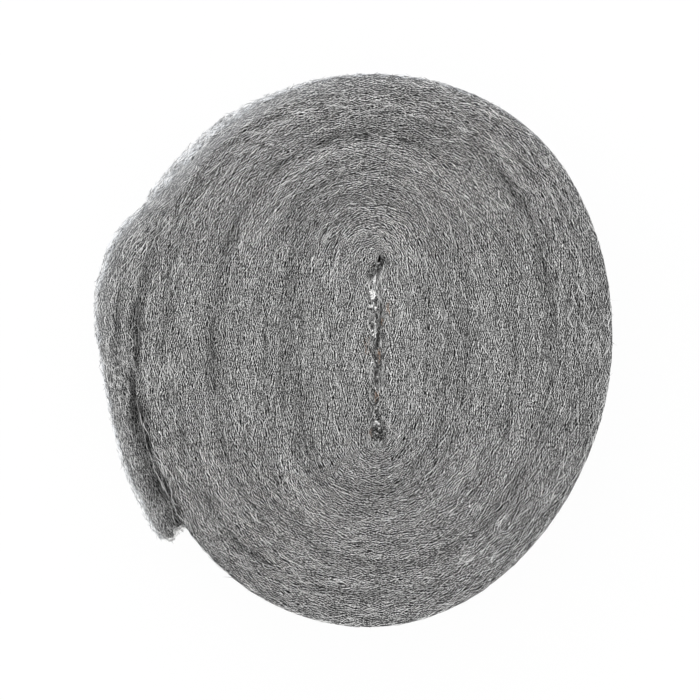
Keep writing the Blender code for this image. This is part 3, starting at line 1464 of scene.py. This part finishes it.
@dataclass(kw_only=True)
class FlankStrands(Layer):
    """The strands that lie on the strip's upright sides, along its turns."""

    flank: Flank
    turns: Pair
    rim: float = 1.5 * MM

    def build(self) -> bpy.types.Object:
        """Lay the strands.

        Returns:
            The piece.
        """
        turn = self.random.uniform(*self.turns, self.count)
        height = self.random.uniform(0.0, self.winding.width, self.count)
        moved = self.wandered()
        side = np.full_like(turn, self.flank.value)
        turns = self.kept(self.wound(turn, side, moved[..., 0]), self.flank.value)
        facing = 1.0 - 2.0 * self.flank.value
        sides = self.flank.value + facing * self.winding.firm(turns) / self.winding.thickness(turns)
        away = self.winding.outwards(turns, sides) * facing
        z = np.clip(height[:, None] + moved[..., 1], FLOOR_GAP, self.winding.width)
        near_rim = np.clip(1.0 - np.minimum(z, self.winding.width - z) / self.rim, 0.0, 1.0)
        rounded = self.rim * (1.0 - np.sqrt(1.0 - near_rim**2))
        return self.laid(
            self.winding.at(turns, sides) + away * (moved[..., 2] - rounded)[..., None], z
        )


@dataclass(kw_only=True)
class FringeStrands(Layer):
    """The thin fringe of strands that stand off the roll's side, ever fewer outwards."""

    turns: Pair
    tries: int = 30  # for each strand
    thinning: float = 0.7
    crowding: float = 5.0
    low_part: int = 12
    below_rim: float = 0.3 * MM

    def build(self) -> bpy.types.Object:
        """Lay the strands.

        Returns:
            The piece.
        """
        tries = self.random.uniform(*self.turns, self.tries * self.count)
        room = sum(self.winding.fringe(tries))
        kept = self.random.uniform(0.0, np.max(room), len(tries)) < room
        turn = tries[kept][: self.count]
        inwards = self.random.uniform(0.0, 1.0, (self.count, 1)) ** self.thinning
        height = self.crowded(self.crowding, self.low_part)
        moved = self.wandered()
        turns = self.kept(self.wound(turn, np.zeros_like(turn), moved[..., 0]), 0.0)
        outside, inside = self.winding.fringe(turns)
        depth = inwards * (outside + inside) - outside - self.winding.swell(turns) - moved[..., 2]
        across = depth / self.winding.thickness(turns)
        rim = self.winding.width - self.winding.crease(turns, np.maximum(across, 0.0))
        z = np.clip(height + moved[..., 1], FLOOR_GAP, rim - self.below_rim)
        return self.laid(self.winding.at(turns, across), z)


@dataclass(kw_only=True)
class TornStrands(Layer):
    """The frizzy strands that stand off the strip's torn outer end."""

    reach: Row = mm(-0.5, 1.0)
    inset: float = 0.05
    crowding: float = 5.0
    low_part: int = 3

    def build(self) -> bpy.types.Object:
        """Lay the strands.

        Returns:
            The piece.
        """
        tail = self.winding.tail_end
        across = self.random.uniform(self.inset, 1.0 - self.inset, (self.count, 1))
        height = self.crowded(self.crowding, self.low_part)
        moved = self.wandered()
        away = self.random.triangular(self.reach[0], 0.0, self.reach[1], (self.count, 1))
        acrosses = np.clip(across + moved[..., 0] / self.winding.thickness(tail), 0.0, 1.0)
        metres = (away + moved[..., 1]) / self.winding.turn_length(tail, HALF)
        turns = self.winding.start(acrosses) + metres
        rim = self.winding.width - self.winding.crease(turns, acrosses)
        z = np.clip(height + moved[..., 2], FLOOR_GAP, rim)
        return self.laid(self.winding.at(turns, acrosses), z)


@dataclass(frozen=True)
class Tuft:
    """A place by the fold where strands lie, with its half sizes and its share of the strands.

    All but the share are in millimetres.
    """

    x: float
    y: float
    half_width: float
    half_length: float
    share: float

    @classmethod
    def rows(cls, *rows: Row) -> tuple["Tuft", ...]:
        """Make a tuft of each row of numbers."""
        return tuple(cls(*row) for row in rows)


@dataclass(kw_only=True)
class FoldStrands(Layer):
    """The strands at the top of the fold, which lie along it in tufts."""

    tufts: tuple[Tuft, ...]
    sinking: float = 0.6  # the share of a hollow's depth that they sink into it

    def build(self) -> bpy.types.Object:
        """Lay the strands.

        Returns:
            The piece.
        """
        shares = np.array([tuft.share for tuft in self.tufts])
        pick = self.random.choice(len(self.tufts), self.count, p=shares / shares.sum())
        table = np.array([(t.x, t.y, t.half_width, t.half_length) for t in self.tufts]) * MM
        spread = self.random.uniform(-1.0, 1.0, (self.count, 2))
        spot = table[pick, :2] + spread * table[pick, 2:]
        moved = self.wandered()
        flat = spot[:, None] + moved[..., 1::-1]
        below = self.sinking * sum(hollow.dip(flat) for hollow in self.winding.hollows)
        z = self.winding.width + moved[..., 2] - below - self.winding.core_mound.dip(flat)
        return self.laid(flat + self.winding.middle(), z)


@dataclass
class Studio:
    """The floor, the lights and the camera that looks straight down on the roll's end."""

    winding: Winding
    camera_height: float = 1.09
    seen_width: float = 0.154
    aim: Pair = (-0.0008, 0.0002)
    floor_size: float = 6.0
    shadow_share: float = 0.06
    world_light: float = 0.975
    lamp_power: float = 10.3
    lamp_size: float = 1.6
    lamp_place: Row = (-0.35, 0.45, 1.7)

    def build(self) -> None:
        """Make the studio."""
        self.make_floor()
        self.make_world()
        self.make_lamp()
        self.make_camera()

    @staticmethod
    def shown(
        nodes: Nodes, plain: bpy.types.Node, white: bpy.types.Node, share: float
    ) -> Socket:
        """Mix plain light with the white that the camera, a reflection or glass sees.

        Args:
            nodes: The nodes of the floor or the world.
            plain: What other light meets.
            white: The white.
            share: How much of the white is seen, from 0 to 1.

        Returns:
            The mixed light.
        """
        path = nodes.add("LightPath").outputs
        mirrored = nodes.maths("MAXIMUM", path["Is Glossy Ray"], path["Is Transmission Ray"])
        seen = nodes.maths("MAXIMUM", path["Is Camera Ray"], mirrored)
        mix = nodes.add("MixShader")
        nodes.feed(mix.inputs[0], nodes.maths("MULTIPLY", seen, share))
        nodes.feed(mix.inputs[1], plain.outputs[0])
        nodes.feed(mix.inputs[2], white.outputs[0])
        return mix.outputs[0]

    def make_floor(self) -> None:
        """Lay the pale floor, which keeps the roll's shadow."""
        shape = bmesh.new()
        bmesh.ops.create_grid(shape, x_segments=1, y_segments=1, size=self.floor_size / 2.0)
        mesh = mesh_from(shape, "floor")
        material = bpy.data.materials.new("pale_floor")
        material.use_nodes = True
        nodes = Nodes(material.node_tree)
        plain, white = nodes.white("BsdfDiffuse"), nodes.white("Emission")
        output = material.node_tree.nodes["Material Output"].inputs["Surface"]
        nodes.feed(output, self.shown(nodes, plain, white, 1.0 - self.shadow_share))
        mesh.materials.append(material)
        floor = placed("floor", mesh)

    def make_world(self) -> None:
        """Light the roll from all round, and show white behind it."""
        world = bpy.data.worlds.new("studio")
        world.use_nodes = True
        bpy.context.scene.world = world
        nodes = Nodes(world.node_tree)
        light = world.node_tree.nodes["Background"]
        light.inputs["Color"].default_value = WHITE
        light.inputs["Strength"].default_value = self.world_light
        output = world.node_tree.nodes["World Output"].inputs["Surface"]
        nodes.feed(output, self.shown(nodes, light, nodes.white("Background"), 1.0))

    def make_lamp(self) -> None:
        """Hang one broad soft lamp above the roll, a little to the upper left."""
        data = bpy.data.lights.new("soft_lamp", "AREA")
        data.shape = "SQUARE"
        data.size = self.lamp_size
        data.energy = self.lamp_power
        lamp = placed("soft_lamp", data)
        lamp.location = self.lamp_place
        target = Vector((0.0, 0.0, self.winding.width))
        lamp.rotation_euler = (target - lamp.location).to_track_quat("-Z", "Y").to_euler()

    def make_camera(self) -> None:
        """Look straight down on the roll, with the photograph's framing."""
        data = bpy.data.cameras.new("camera")
        distance = self.camera_height - self.winding.width
        data.lens = data.sensor_width * distance / self.seen_width
        camera = placed("camera", data)
        camera.location = (*self.aim, self.camera_height)
        bpy.context.scene.camera = camera


def roll_layers(winding: Winding) -> list[Layer]:
    """List the layers of strands on the roll's ends and sides.

    Args:
        winding: The strip's course.

    Returns:
        The layers.
    """
    tail, fold, covered = winding.tail_end, winding.inner_end, winding.covered
    halfway_in, under_tail, fringe_end, frizz_end = 2.0, 0.14, 0.5, 0.13
    top, bottom, outer, inner = End.TOP, End.BOTTOM, Flank.OUTER, Flank.INNER
    fringe = Habit(
        length=(1.2, 3.0), heading=35.0, curl=500.0, wave=0.12, layer=(-0.1, 0.1), sink=0.0,
        tilt=0.3, tone=(0.4, 0.4),
    )
    frizz = Habit(
        length=(0.6, 1.8), radius=(0.03, 0.045), heading=40.0, curl=450.0, layer=(-0.2, 0.2),
        tilt=0.2, tone=(0.4, 0.65),
    )
    torn = Habit(
        length=(0.4, 1.0), radius=(0.022, 0.036), heading=50.0, curl=600.0, layer=(-0.1, 0.2),
        tilt=0.2, tone=(0.35, 0.5),
    )
    stray = Habit(
        length=(2.0, 5.0), radius=(0.025, 0.035), heading=25.0, layer=(-0.2, 0.0), sink=0.0,
        lift=1.0,
    )
    wall, back, side = (tail, covered + under_tail), (tail, winding.bulge_at), (tail, covered)
    edge, end = (tail, fringe_end), (tail, frizz_end)
    return [
        EndStrands(winding, "outer_turn_strands", 1500, 11, end=top, turns=(tail, halfway_in)),
        EndStrands(winding, "inner_turn_strands", 1000, 12, end=top, turns=(halfway_in, fold)),
        EndStrands(winding, "standing_end_strands", 5000, 13, end=bottom, turns=(tail, fold)),
        FlankStrands(winding, "wall_strands", 7000, 14, flank=outer, turns=wall),
        FlankStrands(winding, "tail_back_strands", 1500, 15, flank=inner, turns=back),
        FringeStrands(
            winding, "fringe_strands", 5500, 16, habit=fringe, finish=PALE_STEEL, turns=edge
        ),
        EndStrands(winding, "tail_frizz", 1000, 19, habit=frizz, end=top, turns=end),
        TornStrands(winding, "torn_end_strands", 500, 18, habit=torn),
        FlankStrands(winding, "stray_hairs", 400, 17, habit=stray, flank=outer, turns=side),
    ]


def fold_layers(winding: Winding) -> list[Layer]:
    """List the layers of strands at the fold.

    Args:
        winding: The strip's course.

    Returns:
        The grey strands over its lips, the dark ones down in it, the painted shade of the thin black
        line along it, the specks, the painted highlights, and the rusty ones beside it.
    """
    along_fold = Habit(layer=(-0.4, 0.1), tone=(0.35, 0.6))
    deep = Habit(
        length=(1.5, 4.0), radius=(0.05, 0.08), heading=35.0, layer=(-5.0, -0.3), tone=(0.5, 2.0),
    )
    # near-black strands along the fold: painted shade for the thin dark line of its opening
    gap = Habit(
        length=(0.8, 1.8), radius=(0.11, 0.17), heading=10.0, curl=90.0, wave=0.03,
        layer=(0.05, 0.2), tone=(0.5, 12.0),
    )
    speck = Habit(
        length=(0.4, 0.9), radius=(0.11, 0.18), heading=60.0, layer=(0.0, 0.3), tone=(0.2, 1.3),
    )
    # painted highlights: near-white strands that stand in for bright light in the fold
    painted_highlight = Habit(
        length=(0.35, 0.9), radius=(0.09, 0.15), heading=60.0, layer=(0.1, 0.35), tone=(2.0, 0.4),
    )
    rusty = Habit(length=(0.8, 2.2), radius=(0.04, 0.06), layer=(-0.1, 0.2), tone=(0.8, 0.8))
    over_lips = Tuft.rows(
        (0.0, -1.0, 1.6, 16.0, 12.0), (0.0, -19.6, 1.9, 0.6, 0.5),
        (-0.3, 15.5, 1.6, 1.6, 0.8), (0.6, 17.6, 1.4, 0.5, 0.3),
    )
    inside = Tuft.rows(
        (0.0, -9.0, 0.4, 10.5, 7.0), (0.0, -17.8, 1.4, 1.7, 5.0),
        (-0.9, 10.5, 0.5, 4.0, 1.2), (0.5, 17.8, 1.6, 1.4, 3.5),
    )
    down_the_fold = Tuft.rows(
        (0.95, 8.6, 0.05, 1.5, 1.6), (0.83, 6.3, 0.08, 0.9, 0.9), (0.40, 3.9, 0.08, 1.0, 0.9),
        (-0.10, 1.6, 0.08, 0.8, 0.6), (0.20, 0.4, 0.08, 0.3, 0.4), (-0.35, -1.0, 0.08, 0.6, 0.6),
        (-0.05, -2.5, 0.08, 0.7, 0.7), (0.25, -4.0, 0.08, 0.8, 0.7), (-0.25, -5.8, 0.08, 0.8, 0.5),
        (0.0, -8.0, 0.20, 1.4, 0.7), (1.60, 4.5, 0.05, 0.5, 0.3), (1.10, -1.5, 0.05, 0.4, 0.3),
    )
    specks = Tuft.rows(
        (-1.20, 16.6, 0.30, 0.50, 0.7), (0.10, 18.2, 0.60, 0.50, 2.4),
        (0.70, 18.9, 0.35, 0.45, 1.1), (1.30, 19.7, 0.20, 0.35, 0.3),
        (0.30, -17.8, 0.90, 0.90, 4.0), (0.30, -18.6, 1.40, 1.30, 1.4),
        (-0.90, 12.0, 1.00, 3.40, 1.0), (-0.90, 7.0, 0.70, 2.40, 0.7),
        (0.00, -3.0, 0.90, 5.00, 1.2), (0.10, -12.0, 1.10, 4.00, 2.0),
    )
    painted_highlights = Tuft.rows(
        (-0.25, 15.9, 0.15, 0.40, 0.9), (-0.50, 15.1, 0.15, 0.30, 0.7),
        (-1.00, 13.1, 0.25, 0.25, 0.4), (-0.85, 12.4, 0.45, 0.35, 1.4),
        (-0.75, 11.7, 0.45, 0.40, 2.6), (-1.20, 9.7, 0.35, 0.25, 1.3),
        (-0.20, 9.1, 0.25, 0.40, 1.0), (-0.50, 7.0, 0.20, 1.20, 0.4),
        (-0.80, 3.9, 0.20, 1.00, 0.4), (0.10, -16.0, 0.70, 0.40, 0.6),
    )
    rust_spots = Tuft.rows(
        (2.5, 9.2, 0.4, 0.9, 0.4), (1.0, 6.7, 0.2, 1.1, 1.3), (0.6, -1.6, 0.4, 1.6, 2.2),
        (0.1, -10.3, 0.4, 0.8, 0.6), (-2.0, 1.8, 0.6, 2.8, 0.9), (-1.4, -18.2, 0.6, 0.7, 0.5),
    )
    plans = (
        ("fold_lip_strands", 500, 40, along_fold, STEEL, over_lips),
        ("fold_inner_strands", 520, 41, deep, STEEL, inside),
        ("fold_painted_shade_strands", 95, 42, gap, STEEL, down_the_fold),
        ("fold_specks", 300, 43, speck, STEEL, specks),
        ("fold_painted_highlights", 70, 44, painted_highlight, PAINTED_HIGHLIGHT_STEEL, painted_highlights),
        ("rusty_strands", 60, 45, rusty, RUSTY_STEEL, rust_spots),
    )
    return [
        FoldStrands(winding, name, count, seed, habit=habit, finish=finish, tufts=tufts)
        for name, count, seed, habit, finish, tufts in plans
    ]


def main() -> None:
    """Build every piece of the roll and the studio round it."""
    logging.basicConfig(level=logging.INFO, format="%(name)s: %(message)s")
    bpy.context.scene.view_settings.view_transform = "Standard"
    winding = Winding()
    Studio(winding).build()
    WoundStrip(winding).build()
    for layer in roll_layers(winding) + fold_layers(winding):
        layer.build()


if __name__ == "__main__":
    main()
